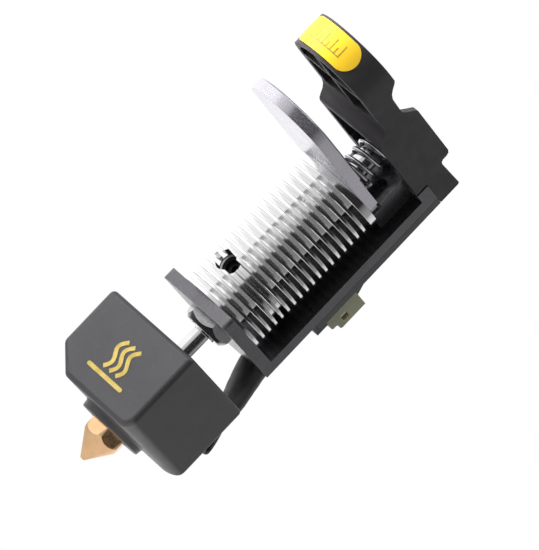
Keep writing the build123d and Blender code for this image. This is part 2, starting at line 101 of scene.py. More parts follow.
# ------------------------------------------------------------------ shader graphs
FALL = (1.0, 0.0)


class Graph:
    """A cleared node tree with short calls for the nodes used here."""

    def __init__(self, tree):
        self.tree = tree
        tree.nodes.clear()

    def node(self, kind, **settings):
        node = self.tree.nodes.new(kind)
        for key, value in settings.items():
            setattr(node, key, value)
        return node

    def feed(self, socket, value):
        """Link a socket, or set a number, a vector or (as a tuple) an RGB colour."""
        if isinstance(value, bpy.types.NodeSocket):
            self.tree.links.new(value, socket)
        else:
            socket.default_value = (*value, 1) if isinstance(value, tuple) else value

    def math(self, operation, *values):
        node = self.node("ShaderNodeMath", operation=operation)
        for socket, value in zip(node.inputs, values):
            self.feed(socket, value)
        return node.outputs[0]

    def product(self, *factors):
        result = factors[0]
        for factor in factors[1:]:
            result = self.math("MULTIPLY", result, factor)
        return result

    def hypot(self, a, b):
        squares = [self.math("POWER", self.math("ABSOLUTE", v), 2.0) for v in (a, b)]
        return self.math("SQRT", self.math("ADD", *squares))

    def dot(self, a, b):
        node = self.node("ShaderNodeVectorMath", operation="DOT_PRODUCT")
        self.feed(node.inputs[0], a)
        self.feed(node.inputs[1], b)
        return node.outputs["Value"]

    def range(self, value, span, to=(0.0, 1.0)):
        """Clamped map of the span onto the target range."""
        node = self.node("ShaderNodeMapRange")
        for socket, v in zip(node.inputs, (value, *span, *to)):
            self.feed(socket, v)
        return node.outputs[0]

    def ramp(self, fac, stops):
        """Colour ramp from (position, RGB) stops."""
        node = self.node("ShaderNodeValToRGB")
        elements = node.color_ramp.elements
        while len(elements) > 1:
            elements.remove(elements[-1])
        elements[0].position = stops[0][0]
        elements[0].color = (*stops[0][1], 1)
        for position, color in stops[1:]:
            elements.new(position).color = (*color, 1)
        self.feed(node.inputs[0], fac)
        return node.outputs[0]

    def split(self, vector):
        node = self.node("ShaderNodeSeparateXYZ")
        self.feed(node.inputs[0], vector)
        return list(node.outputs)

    def mix_shaders(self, fac, first, second):
        node = self.node("ShaderNodeMixShader")
        for socket, value in zip(node.inputs, (fac, first, second)):
            self.feed(socket, value)
        return node.outputs[0]


class Material(Graph):
    """Principled material; object coordinates are in metres, and so are all widths."""

    def __init__(self, name, **settings):
        self.data = bpy.data.materials.new(name)
        self.data.use_nodes = True
        super().__init__(self.data.node_tree)
        self.output = self.node("ShaderNodeOutputMaterial")
        self.shader = self.node("ShaderNodeBsdfPrincipled")
        self.feed(self.output.inputs[0], self.shader.outputs[0])
        self.position = self.node("ShaderNodeTexCoord").outputs["Object"]
        for key, value in settings.items():
            self.shader.inputs[key.replace("_", " ")].default_value = value

    def to(self, key, socket):
        self.feed(self.shader.inputs[key], socket)

    def split_normal(self):
        return self.split(self.node("ShaderNodeTexCoord").outputs["Normal"])

    def noise(self, scale, detail, rough=0.5, stretch=None):
        vector = self.position
        if stretch:
            mapping = self.node("ShaderNodeMapping")
            mapping.inputs["Scale"].default_value = stretch
            self.feed(mapping.inputs["Vector"], vector)
            vector = mapping.outputs[0]
        node = self.node("ShaderNodeTexNoise")
        node.inputs["Scale"].default_value = scale
        node.inputs["Detail"].default_value = detail
        node.inputs["Roughness"].default_value = rough
        self.feed(node.inputs["Vector"], vector)
        return node.outputs["Fac"]

    def voronoi(self, feature, scale):
        node = self.node("ShaderNodeTexVoronoi", feature=feature)
        node.inputs["Scale"].default_value = scale
        self.feed(node.inputs["Vector"], self.position)
        return node.outputs["Distance"]

    def mix(self, fac, a, b):
        node = self.node("ShaderNodeMix", data_type="RGBA")
        for index, value in ((0, fac), (6, a), (7, b)):
            self.feed(node.inputs[index], value)
        return node.outputs[2]

    def bump(self, height, depth, strength):
        node = self.node("ShaderNodeBump")
        node.inputs["Strength"].default_value = strength
        node.inputs["Distance"].default_value = depth
        self.feed(node.inputs["Height"], height)
        return node.outputs[0]

    def clouds(self, scale, detail, dark, light, span=(0.3, 0.7)):
        """Soft noise between two colours."""
        return self.ramp(self.noise(scale, detail), list(zip(span, (dark, light))))

    def specks(self, base, scale, detail, span, amount, color):
        fac = self.range(self.noise(scale, detail), span, (0.0, amount))
        return self.mix(fac, base, color)

    def edge_highlight(self, base, width, amount, color):
        """Painted highlight: mix a colour in along convex and concave edges."""
        bevel = self.node("ShaderNodeBevel", samples=4)
        bevel.inputs["Radius"].default_value = width
        geometry = self.node("ShaderNodeNewGeometry")
        facing = self.dot(bevel.outputs[0], geometry.outputs["Normal"])
        edge = self.range(facing, (1.0, 0.86))
        return self.mix(self.product(edge, amount), base, color)

    def roughness(self, scale, detail, to):
        self.to("Roughness", self.range(self.noise(scale, detail), (0.3, 0.7), to))

    def grain(self, scale, detail, depth, strength, rough=0.5):
        self.to("Normal", self.bump(self.noise(scale, detail, rough), depth, strength))


def clouded(name, cloud, rough, grain, edge_highlight=None, **settings):
    """Material of clouds, uneven roughness and a fine bump, with an optional painted highlight
    along the edges.
    """
    m = Material(name, **settings)
    color = m.clouds(**cloud)
    if edge_highlight:
        color = m.edge_highlight(color, **edge_highlight)
    m.to("Base Color", color)
    m.roughness(**rough)
    m.grain(**grain)
    return m.data


# ------------------------------------------------------------------ materials
def black_anodised():
    m = Material("black_anodised", Metallic=0.75, IOR=1.75)
    base = m.clouds(scale=180, detail=3, dark=(0.122, 0.118, 0.127), light=(0.150, 0.146, 0.157))
    # painted highlight along the edges
    color = m.edge_highlight(base, width=0.00022, amount=0.45, color=(0.32, 0.32, 0.34))
    # painted shade: the wall behind the heatsink, facing -Y, is coloured dull and near black
    y, z = m.split(m.position)[1:]
    painted_light_wall = m.product(m.range(m.split_normal()[1], (-0.7, -0.9)),
                     m.range(y, (0.0075, 0.0080)),
                     m.range(z, (level(33.5), level(36.0)), to=(0.0, 0.85)))
    m.to("Base Color", m.mix(painted_light_wall, color, (0.012, 0.012, 0.013)))
    m.roughness(scale=900, detail=4, to=(0.25, 0.34))
    m.grain(scale=5200, detail=2, rough=0.6, depth=7e-6, strength=0.45)
    return m.data


def turned_aluminium():
    m = Material("turned_aluminium", Emission_Color=(1, 1, 1, 1))
    base = m.clouds(scale=240, detail=3, dark=(0.80, 0.80, 0.805), light=(0.87, 0.87, 0.875))
    base = m.specks(base, scale=2600, detail=2, span=(0.66, 0.74), amount=0.20,
                    color=(0.62, 0.62, 0.63))
    # painted shade in the fin roots, on the downward faces
    x, y, z = m.split(m.position)
    radius = m.hypot(x, y)
    down = m.range(m.split_normal()[2], (-0.9, -0.4), to=FALL)
    root_shade = m.product(down, m.range(radius, (0.0062, 0.0078), to=(0.85, 0.0)))
    base = m.mix(root_shade, base, (0.07, 0.07, 0.075))
    # tapped cross hole: painted shade, dark and not metallic inside; across and rise are measured
    # from its axis
    across = m.math("ADD", m.product(x, math.cos(HOLE_TURN)), m.product(y, math.sin(HOLE_TURN)))
    rise = m.math("ADD", z, -level(HOLE_Z))
    shaded_hole = m.product(m.range(m.hypot(across, rise), (0.00192, 0.00196), to=FALL),
                     m.range(y, (-0.0022, -0.0026)))
    # painted highlight: the wall of the mouth is painted lit low on its left side, inside a dark
    # rim of painted shade
    lit = m.product(m.range(across, (-0.0006, -0.0012)),
                    m.range(rise, (0.0009, -0.0003), to=(0.22, 1.0)))
    mouth = m.product(m.range(y, (-0.0056, -0.0058)), m.range(radius, (0.00668, 0.00655)))
    painted_light_wall = m.product(lit, mouth)
    inside = m.mix(painted_light_wall, (0.020, 0.020, 0.021), (0.42, 0.42, 0.42))
    m.to("Base Color", m.mix(shaded_hole, base, inside))
    m.to("Metallic", m.math("SUBTRACT", 1.0, shaded_hole))
    # painted glow on that highlighted wall of the mouth
    m.to("Emission Strength", m.product(painted_light_wall, shaded_hole, 0.30))
    # turning rings stacked along Z
    rings = m.noise(scale=1.0, detail=2, stretch=(0, 0, 24000))
    m.to("Roughness", m.mix(shaded_hole, m.range(rings, (0.3, 0.7), to=(0.10, 0.15)), (0.5, 0.5, 0.5)))
    m.grain(scale=900, detail=0, depth=5e-7, strength=0.2)
    return m.data


def satin_anodised():
    m = Material("satin_anodised", Metallic=0.9)
    m.to("Base Color", m.clouds(scale=120, detail=3, dark=(0.62, 0.60, 0.66),
                                light=(0.70, 0.68, 0.74)))
    # brushing drawn out along Y
    brushing = m.noise(scale=1.0, detail=3, rough=0.6, stretch=(2500, 260, 2500))
    m.to("Roughness", m.range(brushing, (0.3, 0.7), to=(0.20, 0.30)))
    m.grain(scale=1500, detail=1, depth=1.2e-6, strength=0.3)
    return m.data


def steel(name, tint=(0.74, 0.74, 0.75), rough=(0.09, 0.15)):
    return clouded(
        name, Metallic=1.0,
        cloud=dict(scale=400, detail=3, dark=tuple(c * 0.88 for c in tint), light=tint),
        rough=dict(scale=2200, detail=4, to=rough),
        grain=dict(scale=900, detail=0, depth=5e-7, strength=0.2))


def black_oxide_steel():
    return clouded(
        "black_oxide_steel", Metallic=0.8,
        cloud=dict(scale=500, detail=4, dark=(0.05, 0.05, 0.053), light=(0.10, 0.10, 0.105)),
        # painted highlight along the edges
        edge_highlight=dict(width=0.0002, amount=0.6, color=(0.42, 0.42, 0.43)),
        rough=dict(scale=1500, detail=3, to=(0.22, 0.38)),
        grain=dict(scale=4000, detail=2, depth=6e-6, strength=0.5))


def dark_nickel():
    return clouded(
        "dark_nickel", Metallic=1.0,
        cloud=dict(scale=600, detail=4, dark=(0.46, 0.46, 0.465), light=(0.56, 0.56, 0.565)),
        rough=dict(scale=1800, detail=4, to=(0.20, 0.30)),
        grain=dict(scale=1100, detail=1, depth=1e-6, strength=0.25))


def board_laminate():
    m = Material("board_laminate", IOR=1.5, Coat_Weight=0.4, Coat_Roughness=0.18)
    base = m.clouds(scale=220, detail=4, dark=(0.026, 0.036, 0.030), light=(0.042, 0.056, 0.045))
    # traces and gold vias on the back, +Y, face only
    trace_distance = m.voronoi("DISTANCE_TO_EDGE", scale=620)
    via_distance = m.voronoi("F1", scale=430)
    back = m.range(m.split_normal()[1], (0.6, 0.9))
    trace = m.product(m.range(trace_distance, (0.05, 0.08), to=FALL), back)
    via = m.product(m.range(via_distance, (0.10, 0.13), to=FALL), back)
    color = m.mix(m.product(trace, 0.75), base, (0.075, 0.105, 0.078))
    m.to("Base Color", m.mix(via, color, (0.62, 0.50, 0.26)))
    m.to("Metallic", m.product(via, 0.9))
    m.roughness(scale=900, detail=3, to=(0.30, 0.42))
    m.to("Normal", m.bump(trace, depth=2.5e-5, strength=0.6))
    return m.data


def moulded_black():
    return clouded(
        "moulded_black", IOR=1.5,
        cloud=dict(scale=140, detail=3, dark=(0.040, 0.037, 0.040), light=(0.054, 0.050, 0.054)),
        # painted highlight along the edges
        edge_highlight=dict(width=0.0002, amount=0.35, color=(0.16, 0.155, 0.165)),
        rough=dict(scale=700, detail=4, to=(0.46, 0.60)),
        grain=dict(scale=3800, detail=3, rough=0.7, depth=1.4e-5, strength=0.5))


def matt_silicone():
    m = Material("matt_silicone", IOR=1.85)
    base = m.clouds(scale=160, detail=4, dark=(0.015, 0.0135, 0.017),
                    light=(0.021, 0.0195, 0.0235))
    # pale dust
    m.to("Base Color", m.specks(base, scale=5200, detail=1, span=(0.70, 0.78), amount=0.35,
                                color=(0.22, 0.22, 0.23)))
    m.roughness(scale=500, detail=4, to=(0.33, 0.43))
    m.grain(scale=3200, detail=3, rough=0.6, depth=1.2e-5, strength=0.5)
    return m.data


def gold_print():
    return clouded(
        "gold_print", Metallic=0.15, IOR=1.5,
        cloud=dict(scale=900, detail=4, dark=(0.35, 0.25, 0.045), light=(0.47, 0.36, 0.10)),
        rough=dict(scale=2500, detail=3, to=(0.35, 0.5)),
        grain=dict(scale=5000, detail=2, depth=8e-6, strength=0.5))


def yellow_film():
    """Label film with a plain graduation, glowing faintly in its own colour as painted light; arc
    and rise are millimetres from its middle.
    """
    m = Material("yellow_film", IOR=1.5, Coat_Weight=0.25, Coat_Roughness=0.25,
                 Emission_Strength=0.32)
    base = m.clouds(scale=90, detail=3, dark=(0.84, 0.52, 0.012), light=(0.90, 0.59, 0.035))
    x, _, z = m.split(m.position)
    arc = m.product(m.math("ARCSINE", m.product(x, 1 / MM / LABEL_RADIUS)), LABEL_RADIUS)
    rise = m.math("SUBTRACT", m.product(z, 1 / MM), LABEL_Z - INLET_Z)

    def ticks(step, top):
        cycle = m.math("FRACT", m.math("ADD", m.math("DIVIDE", arc, step), 0.5))
        offset = m.product(m.math("ABSOLUTE", m.math("SUBTRACT", cycle, 0.5)), step)
        return m.product(m.range(offset, (0.12, 0.17), to=FALL),
                         m.range(rise, (-1.15, -1.10)),
                         m.range(rise, (top, top + 0.05), to=FALL))

    base_line = m.range(m.math("ABSOLUTE", m.math("ADD", rise, 1.05)), (0.10, 0.14), to=FALL)
    tick_marks = m.math("MAXIMUM", ticks(step=1.9, top=1.15), ticks(step=0.95, top=0.1))
    marks = m.product(m.math("MAXIMUM", tick_marks, base_line),
                      m.range(m.math("ABSOLUTE", arc), (3.95, 4.0), to=FALL))
    patchy = m.range(m.noise(scale=3000, detail=3), (0.3, 0.6), to=(0.55, 0.85))
    film = m.mix(m.product(marks, patchy), base, (0.20, 0.11, 0.03))
    m.to("Base Color", film)
    # painted light: the film glows in its own colour
    m.to("Emission Color", film)
    paper = m.noise(scale=2600, detail=3)
    m.to("Roughness", m.range(paper, (0.3, 0.7), to=(0.36, 0.50)))
    m.to("Normal", m.bump(paper, depth=6e-6, strength=0.5))
    return m.data


def turned_brass():
    return clouded(
        "turned_brass", Metallic=1.0,
        cloud=dict(scale=420, detail=4, dark=(0.80, 0.48, 0.25), light=(0.90, 0.60, 0.35),
                   span=(0.25, 0.75)),
        rough=dict(scale=1500, detail=4, to=(0.11, 0.18)),
        grain=dict(scale=1100, detail=1, depth=1.2e-6, strength=0.25))


def sleeve_rubber():
    return clouded(
        "sleeve_rubber", IOR=1.45,
        cloud=dict(scale=350, detail=4, dark=(0.030, 0.030, 0.031), light=(0.050, 0.050, 0.052)),
        rough=dict(scale=900, detail=4, to=(0.42, 0.58)),
        grain=dict(scale=2400, detail=3, depth=2e-5, strength=0.5))


def simple(name, dark, light, rough, scale=600, depth=8e-6, metallic=0.0):
    """Small parts: edges a little lighter as a painted highlight, all the noise tied to one scale.
    """
    pale = tuple(min(1, c * 1.6 + 0.02) for c in light)
    return clouded(
        name, Metallic=metallic,
        cloud=dict(scale=scale * 0.4, detail=4, dark=dark, light=light),
        # painted highlight along the edges, in the pale colour
        edge_highlight=dict(width=0.00018, amount=0.4, color=pale),
        rough=dict(scale=scale, detail=4, to=rough),
        grain=dict(scale=scale * 4, detail=3, depth=depth, strength=0.5))


MATERIALS = {
    "bracket_black": black_anodised(),
    "sink_aluminium": turned_aluminium(),
    "plate_aluminium": satin_anodised(),
    "black_steel": black_oxide_steel(),
    "bright_steel": steel("bright_steel"),
    "spring_steel": steel("spring_wire", tint=(0.80, 0.80, 0.82), rough=(0.10, 0.18)),
    "lever_plastic": moulded_black(),
    "label_yellow": yellow_film(),
    "sock_silicone": matt_silicone(),
    "mark_gold": gold_print(),
    "block_aluminium": steel("milled_aluminium", tint=(0.78, 0.78, 0.79), rough=(0.25, 0.4)),
    "nozzle_brass": turned_brass(),
    "sleeve_fabric": sleeve_rubber(),
    "lead_insulation": simple("glass_fibre_lead", dark=(0.55, 0.53, 0.48),
                              light=(0.74, 0.72, 0.67), rough=(0.5, 0.7), scale=1200, depth=2e-5),
    "board_laminate": board_laminate(),
    "connector_plastic": simple("olive_ivory_plastic", dark=(0.40, 0.40, 0.26),
                                light=(0.50, 0.50, 0.34), rough=(0.35, 0.5), scale=500),
    "foot_plastic": simple("grey_black_plastic", dark=(0.10, 0.10, 0.10),
                           light=(0.15, 0.15, 0.15), rough=(0.45, 0.6)),
    "contact_gold": simple("gold_contact", dark=(0.72, 0.50, 0.22), light=(0.86, 0.64, 0.33),
                           rough=(0.18, 0.3), scale=900, depth=4e-6, metallic=1.0),
}

# ------------------------------------------------------------------ CAD pieces
# edge rounding in mm; pieces not listed keep their edges
BEVEL = {
    "bracket": 0.10, "finger_plate": 0.10, "latch_lever": 0.20, "nozzle": 0.04,
    "board_foot": 0.12, "connector_base": 0.1, "connector_shroud": 0.1, "circuit_board": 0.05,
    "heater_block": 0.15, "spring_seat": 0.08, "plate_rivets": 0.1, "board_screws": 0.06,
}


def weight_normals(piece):
    piece.modifiers.new("normals", "WEIGHTED_NORMAL").keep_sharp = True


def smooth(piece):
    for polygon in piece.data.polygons:
        polygon.use_smooth = True


def dress(node, width):
    """Material, and rounded edges by modifier, on a CAD piece."""
    piece = NODES[node]
    piece.data.materials.clear()
    piece.data.materials.append(MATERIALS[SLOT[node]])
    piece.modifiers.new("weld", "WELD").merge_threshold = 0.000002
    if width:
        bevel = piece.modifiers.new("bevel", "BEVEL")
        bevel.width = width * MM
        bevel.segments = 3
        bevel.limit_method = "ANGLE"
        bevel.angle_limit = math.radians(32)
        bevel.harden_normals = False
        bevel.miter_outer = "MITER_ARC"
        bevel.use_clamp_overlap = True
    smooth(piece)
    crisp = piece.modifiers.new("crisp", "EDGE_SPLIT")
    crisp.split_angle = math.radians(34)
    crisp.use_edge_sharp = False
    weight_normals(piece)


for node_name in NODES:
    dress(node_name, BEVEL.get(node_name, 0.0))
# these two differ from the rest of their slot
NODES["jam_nut"].data.materials[0] = dark_nickel()
# painted shade: the set screw deep in its hole gets a darker black than the other screws
NODES["set_screw"].data.materials[0] = simple(
    "oily_black_screw", dark=(0.010, 0.010, 0.011), light=(0.020, 0.020, 0.022),
    rough=(0.35, 0.5), scale=900, depth=4e-6, metallic=0.3)


# ------------------------------------------------------------------ shape helpers
def mesh_object(name, verts, faces):
    mesh = bpy.data.meshes.new(name)
    mesh.from_pydata([place(*v) for v in verts], [], faces)
    mesh.validate()
    bm = bmesh.new()
    bm.from_mesh(mesh)
    bmesh.ops.recalc_face_normals(bm, faces=bm.faces)
    bm.to_mesh(mesh)
    bm.free()
    piece = bpy.data.objects.new(name, mesh)
    bpy.context.scene.collection.objects.link(piece)
    return piece


def shade(piece, sharp):
    """Smooth shading, broken at edges over the given angle in degrees."""
    smooth(piece)
    piece.data.set_sharp_from_angle(angle=math.radians(sharp))


def loft(name, rings):
    """Closed rings of equal length joined in order and capped."""
    n = len(rings[0])
    faces = []
    for i in range(len(rings) - 1):
        for j in range(n):
            k = (j + 1) % n
            faces.append((i * n + j, i * n + k, (i + 1) * n + k, (i + 1) * n + j))
    faces.append(tuple(range(n - 1, -1, -1)))
    faces.append(tuple((len(rings) - 1) * n + j for j in range(n)))
    return mesh_object(name, [v for ring in rings for v in ring], faces)


def boolean(piece, cutter, operation="DIFFERENCE"):
    """Apply a boolean at once and delete the cutter."""
    cut = piece.modifiers.new("cut", "BOOLEAN")
    cut.operation = operation
    cut.solver = "EXACT"
    cut.object = cutter
    bpy.context.view_layer.update()
    depsgraph = bpy.context.evaluated_depsgraph_get()
    mesh = bpy.data.meshes.new_from_object(piece.evaluated_get(depsgraph))
    piece.modifiers.clear()
    piece.data = mesh
    bpy.data.objects.remove(cutter, do_unlink=True)


def circle(radius, n):
    """Points round the origin, as (x, y)."""
    angles = [2 * math.pi * k / n for k in range(n)]
    return [(radius * math.cos(a), radius * math.sin(a)) for a in angles]


def turned(name, profile, n):
    """Solid turned about the nozzle axis from (radius, z) pairs."""
    return loft(name, [[(x, y, z) for x, y in circle(r, n)] for r, z in profile])


def block(name, x0, x1, y0, y1, z0, z1):
    return loft(name, [[(x0, y0, z), (x1, y0, z), (x1, y1, z), (x0, y1, z)] for z in (z0, z1)])


def spline(points, per=14):
    """Catmull-Rom through the points, with per steps to a span."""
    v = [Vector(p) for p in points]
    v = [v[0] * 2 - v[1]] + v + [v[-1] * 2 - v[-2]]
    path = []
    for i in range(1, len(v) - 2):
        a, b, c, d = v[i - 1:i + 3]
        for k in range(per):
            t = k / per
            path.append(0.5 * ((2 * b) + (c - a) * t + (2 * a - 5 * b + 4 * c - d) * t * t
                               + (3 * b - a - 3 * c + d) * t ** 3))
    path.append(v[-2])
    return path


def tube(name, path, radius, n, width=1.0, side=Vector((1, 0, 0))):
    """Rod along a path; radius is a function of 0..1, width stretches it along side."""
    rings = []
    last = len(path) - 1
    for i, centre in enumerate(path):
        tangent = (path[min(i + 1, last)] - path[max(i - 1, 0)]).normalized()
        side = (side - tangent * side.dot(tangent)).normalized()
        across = tangent.cross(side)
        r = radius(i / last)
        ring = []
        for k in range(n):
            angle = 2 * math.pi * k / n
            ring.append(tuple(centre + side * (r * width * math.cos(angle))
                              + across * (r * math.sin(angle))))
        rings.append(ring)
    return loft(name, rings)


def finish_piece(piece, node, body, sharp, weighted=True):
    """Shade a made piece and put it in place of its CAD node."""
    shade(piece, sharp)
    piece.data.materials.clear()
    piece.data.materials.append(MATERIALS[SLOT[node]])
    if weighted:
        weight_normals(piece)
    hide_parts(node)
    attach(piece, body)


# ------------------------------------------------------------------ silicone sock
SOCK_X = 10.8                           # half width
SOCK_FRONT, SOCK_BACK = -11.86, 9.12
SOCK_BOTTOM, SOCK_TOP = 7.86, 23.7
BOSS_BOTTOM = 6.49
FRONT_ROUND, BACK_ROUND, ROUND_STEPS = 0.95, 0.85, 6
HEEL_RADIUS = 3.0                       # bottom back edge
# outline seen from the front, counter-clockwise: (x, z), corner radius
SOCK_CORNERS = [
    ((-SOCK_X, SOCK_TOP), 0.95), ((-SOCK_X, 12.0), 1.5), ((-5.9, SOCK_BOTTOM), 1.3),
    ((SOCK_X, SOCK_BOTTOM), 2.3), ((SOCK_X, SOCK_TOP), 0.7),
]
# centre line of the cable sleeve from the top down: x, y, z
SLEEVE_LINE = [
    (2.3, 13.9, 41.4), (2.2, 13.9, 36.0), (2.35, 13.85, 31.5),
    (4.4, 12.45, 27.2), (6.5, 10.9, 23.7), (7.3, 9.9, 21.2),
]
# centre line of the pull tab, ending in an upturned hook: x, y, z
TAB_LINE = [
    (9.0, 8.2, 20.6), (9.15, 9.6, 19.6), (9.2, 10.6, 17.6), (9.2, 11.15, 15.9),
    (9.2, 11.05, 15.0), (9.2, 10.35, 14.75), (9.2, 9.75, 15.3),
]


def inset_outline(corners, inset, steps=7):
    """Outline moved inwards, with each corner rounded by an arc."""
    points = [Vector(corner[0]) for corner in corners]
    edges = []
    for i, start in enumerate(points):
        along = (points[(i + 1) % len(points)] - start).normalized()
        inward = Vector((-along.y, along.x))
        edges.append((start + inward * inset, along))
    outline = []
    for i, (_, corner_radius) in enumerate(corners):
        (p, d), (q, e) = edges[i - 1], edges[i]
        # where the two moved edges cross
        t = ((q - p).x * e.y - (q - p).y * e.x) / (d.x * e.y - d.y * e.x)
        corner = p + d * t
        radius = max(corner_radius - inset, 0.03)
        half = math.acos(max(-1, min(1, (-d).dot(e)))) / 2
        reach = radius / math.tan(half)
        centre = corner + ((-d) + e).normalized() * (radius / math.sin(half))
        v0 = corner - d * reach - centre
        v1 = corner + e * reach - centre
        start = math.atan2(v0.y, v0.x)
        sweep = math.atan2(v0.x * v1.y - v0.y * v1.x, v0.dot(v1))
        for k in range(steps + 1):
            angle = start + sweep * k / steps
            outline.append((centre.x + radius * math.cos(angle),
                            centre.y + radius * math.sin(angle)))
    return outline


def sock_ring(y_face, inward, radius, k):
    """Step k of the rounding between an end face (last step) and the sides (step 0)."""
    angle = math.pi / 2 * k / ROUND_STEPS
    y = y_face + inward * radius * (1 - math.sin(angle))
    return [(x, y, z) for x, z in inset_outline(SOCK_CORNERS, radius * (1 - math.cos(angle)))]


def sleeve_radius(t):
    """Wide above, narrowing to its lower end, with a slight ripple."""
    narrowing = min(1.0, max(0.0, (t - 0.40) / 0.42)) ** 1.1
    return 2.72 - 0.72 * narrowing + 0.012 * math.sin(t * 61)


def make_sock():
    """Rounded boot with a boss round the nozzle, and ways for the neck, sleeve and leads."""
    rings = [sock_ring(SOCK_FRONT, 1, FRONT_ROUND, k) for k in range(ROUND_STEPS, -1, -1)]
    rings += [sock_ring(SOCK_BACK, -1, BACK_ROUND, k) for k in range(ROUND_STEPS + 1)]
    sock = loft("sock_shell", rings)

    side = [(SOCK_FRONT - 1, SOCK_TOP + 1), (SOCK_FRONT - 1, SOCK_BOTTOM)]
    for k in range(13):
        angle = math.pi / 2 * k / 12
        side.append((SOCK_BACK - HEEL_RADIUS + HEEL_RADIUS * math.sin(angle),
                     SOCK_BOTTOM + HEEL_RADIUS - HEEL_RADIUS * math.cos(angle)))
    side.append((SOCK_BACK, SOCK_TOP + 1))
    heel = loft("rear_round", [[(x, y, z) for y, z in side] for x in (-SOCK_X - 1, SOCK_X + 1)])
    boolean(sock, heel, "INTERSECT")

    boss = [(5.5, BOSS_BOTTOM), (5.85, BOSS_BOTTOM + 0.05), (6.0, BOSS_BOTTOM + 0.22),
            (6.12, SOCK_BOTTOM - 0.25), (6.3, SOCK_BOTTOM - 0.02), (6.5, SOCK_BOTTOM + 0.25)]
    boolean(sock, turned("boss", boss, 96), "UNION")
    boolean(sock, turned("nozzle_hole", [(4.0, 5.0), (4.0, 9.6)], 72))
    boolean(sock, turned("neck_hole", [(2.0, 22.3), (2.0, 23.5), (2.35, 24.2)], 64))
    # the sleeve with 0.1 mm clearance
    boolean(sock, tube("sleeve_way", spline(SLEEVE_LINE), lambda t: sleeve_radius(t) + 0.1, 32))
    boolean(sock, block("lead_notch", x0=5.8, x1=9.2, y0=7.0, y1=11.8, z0=18.5, z1=21.6))
    finish_piece(sock, "silicone_sock", HOT, sharp=30)


def tab_radius(t):
    """Half thickness of the tab, swelling near its hooked end."""
    return 0.30 + 0.12 * math.exp(-((t - 0.78) / 0.16) ** 2)


def make_pull_tab():
    tab = tube("sock_pull_tab", spline(TAB_LINE, per=10), tab_radius, 16, width=2.0)
    shade(tab, 60)
    tab.data.materials.append(MATERIALS["sock_silicone"])
    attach(tab, HOT)


make_sock()
make_pull_tab()


# ------------------------------------------------------------------ heatsink
CUT_FRONT = -12.0                       # cutters start in front of the fins
MILL_HALF = 2.9                         # half width of the milled gap
MILL_LEVELS = (38.4, 40.4)


def sink_profile():
    """(radius, z) steps of core, fins, collar and thick top, with chamfered rims."""
    # bands: bottom z, top z, radius
    bands = [(SINK_BOTTOM, SINK_TOP, CORE_RADIUS),
             (SINK_BOTTOM, FIN_Z + FIN_HALF, FIN_RADIUS),
             (37.98, 40.77, COLLAR_RADIUS),
             (60.25, SINK_TOP, FIN_RADIUS)]
    for k in range(1, 18):
        z = FIN_Z + FIN_PITCH * k
        bands.append((z - FIN_HALF, z + FIN_HALF, FIN_RADIUS))
    levels = sorted({round(z, 4) for band in bands for z in band[:2]})
    steps = []
    for z0, z1 in zip(levels, levels[1:]):
        radius = max(band[2] for band in bands if band[0] <= (z0 + z1) / 2 <= band[1])
        if steps and abs(steps[-1][2] - radius) < 1e-6:
            steps[-1][1] = z1
        else:
            steps.append([z0, z1, radius])
    profile = [(SINK_END_RADIUS, SINK_BOTTOM)]
    for z0, z1, radius in steps:
        if radius > 5:
            c = FIN_CHAMFER
            profile += [(radius - c, z0), (radius, z0 + c), (radius, z1 - c), (radius - c, z1)]
        else:
            profile += [(radius, z0), (radius, z1)]
    return profile + [(SINK_END_RADIUS, SINK_TOP)]


def hole_turned(x, y, z):
    """A point turned about the axis with the cross hole."""
    cos, sin = math.cos(HOLE_TURN), math.sin(HOLE_TURN)
    return (x * cos - y * sin, x * sin + y * cos, z)


def cross_hole(name, radius, back, n):
    return loft(name, [[hole_turned(x, y, HOLE_Z + rise) for x, rise in circle(radius, n)]
                       for y in (CUT_FRONT, back)])


def mill_gap():
    """Gap milled in the fin at the hole, down to the collar."""
    outline = [(-MILL_HALF, CUT_FRONT), (MILL_HALF, CUT_FRONT)]
    for k in range(21):
        x = MILL_HALF - 2 * MILL_HALF * k / 20
        outline.append((x, -math.sqrt(COLLAR_RADIUS ** 2 - x ** 2)))
    return loft("mill_gap", [[hole_turned(x, y, z) for x, y in outline] for z in MILL_LEVELS])


def make_sink():
    sink = turned("turned_sink", sink_profile(), 144)
    boolean(sink, cross_hole("set_hole", HOLE_RADIUS, back=-2.6, n=40))
    boolean(sink, cross_hole("hole_mouth", MOUTH_RADIUS, back=-5.55, n=56))
    boolean(sink, mill_gap())
    finish_piece(sink, "heat_sink", HOT, sharp=25)


make_sink()

# ------------------------------------------------------------------ latch spring
SPRING_RADIUS, WIRE_RADIUS = 2.75, 0.37
SPRING_SEAT = 64.40
SPRING_TURNS, DEAD_TURNS = 5.6, 1.0     # all turns, and closed turns at each end
SPRING_START = 3.84                     # radians back from +X to the lower wire end
SPRING_STEPS = 56                       # to a turn


